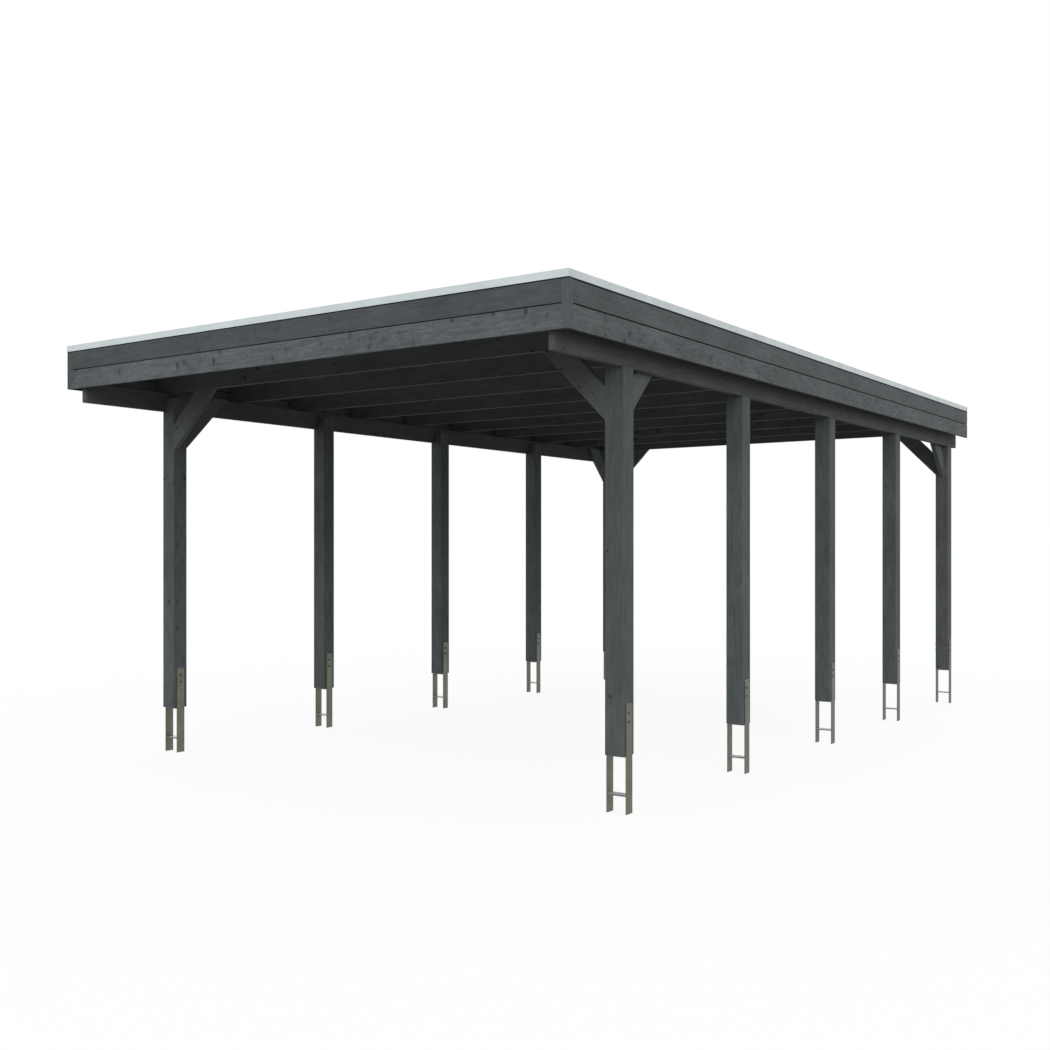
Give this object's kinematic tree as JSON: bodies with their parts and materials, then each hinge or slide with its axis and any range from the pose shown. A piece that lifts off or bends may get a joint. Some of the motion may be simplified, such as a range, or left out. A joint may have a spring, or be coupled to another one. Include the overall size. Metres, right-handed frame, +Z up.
{
  "type": "timber carport",
  "caption": "Flat-roofed timber carport on two rows of posts in steel anchors, with knee braces, rafters, metal roof sheets and a two-board fascia under an edge trim.",
  "frame": {"origin": "on the floor, in the middle of the overall box in plan", "axes": "+X to the right seen from the front, +Y from the front to the back along the length, +Z up; the front faces -Y"},
  "size_m": [4.008, 7.034, 2.809],
  "materials": {
    "stained_spruce": "planed spruce with a slate-grey stain",
    "stained_boards": "planed spruce boards with a slate-grey stain",
    "galvanised_steel": "hot-dip galvanised flat steel, dulled",
    "edge_trim": "mill-finish aluminium angle",
    "roof_sheet": "plain rolled aluminium sheet"
  },
  "bodies": {
    "root": {"post_left_1": "stained_spruce", "post_left_2": "stained_spruce", "post_left_3": "stained_spruce", "post_left_4": "stained_spruce", "post_left_5": "stained_spruce", "post_right_1": "stained_spruce", "post_right_2": "stained_spruce", "post_right_3": "stained_spruce", "post_right_4": "stained_spruce", "post_right_5": "stained_spruce", "purlin_left": "stained_spruce", "purlin_right": "stained_spruce", "rafters": "stained_spruce", "brace_cross_front_left": "stained_spruce", "brace_cross_front_right": "stained_spruce", "brace_cross_back_left": "stained_spruce", "brace_cross_back_right": "stained_spruce", "brace_length_front_left": "stained_spruce", "brace_length_front_right": "stained_spruce", "brace_length_back_left": "stained_spruce", "brace_length_back_right": "stained_spruce", "fascia_front_lower": "stained_boards", "fascia_front_upper": "stained_boards", "fascia_left_lower": "stained_boards", "fascia_left_upper": "stained_boards", "fascia_right_lower": "stained_boards", "fascia_right_upper": "stained_boards", "corner_batten_left": "stained_boards", "corner_batten_right": "stained_boards", "anchor_left_1": "galvanised_steel", "anchor_left_2": "galvanised_steel", "anchor_left_3": "galvanised_steel", "anchor_left_4": "galvanised_steel", "anchor_left_5": "galvanised_steel", "anchor_right_1": "galvanised_steel", "anchor_right_2": "galvanised_steel", "anchor_right_3": "galvanised_steel", "anchor_right_4": "galvanised_steel", "anchor_right_5": "galvanised_steel", "edge_trim_front": "edge_trim", "edge_trim_left": "edge_trim", "edge_trim_right": "edge_trim", "roof_sheets_under": "roof_sheet", "roof_sheets_over": "roof_sheet"}
  },
  "joints": []
}
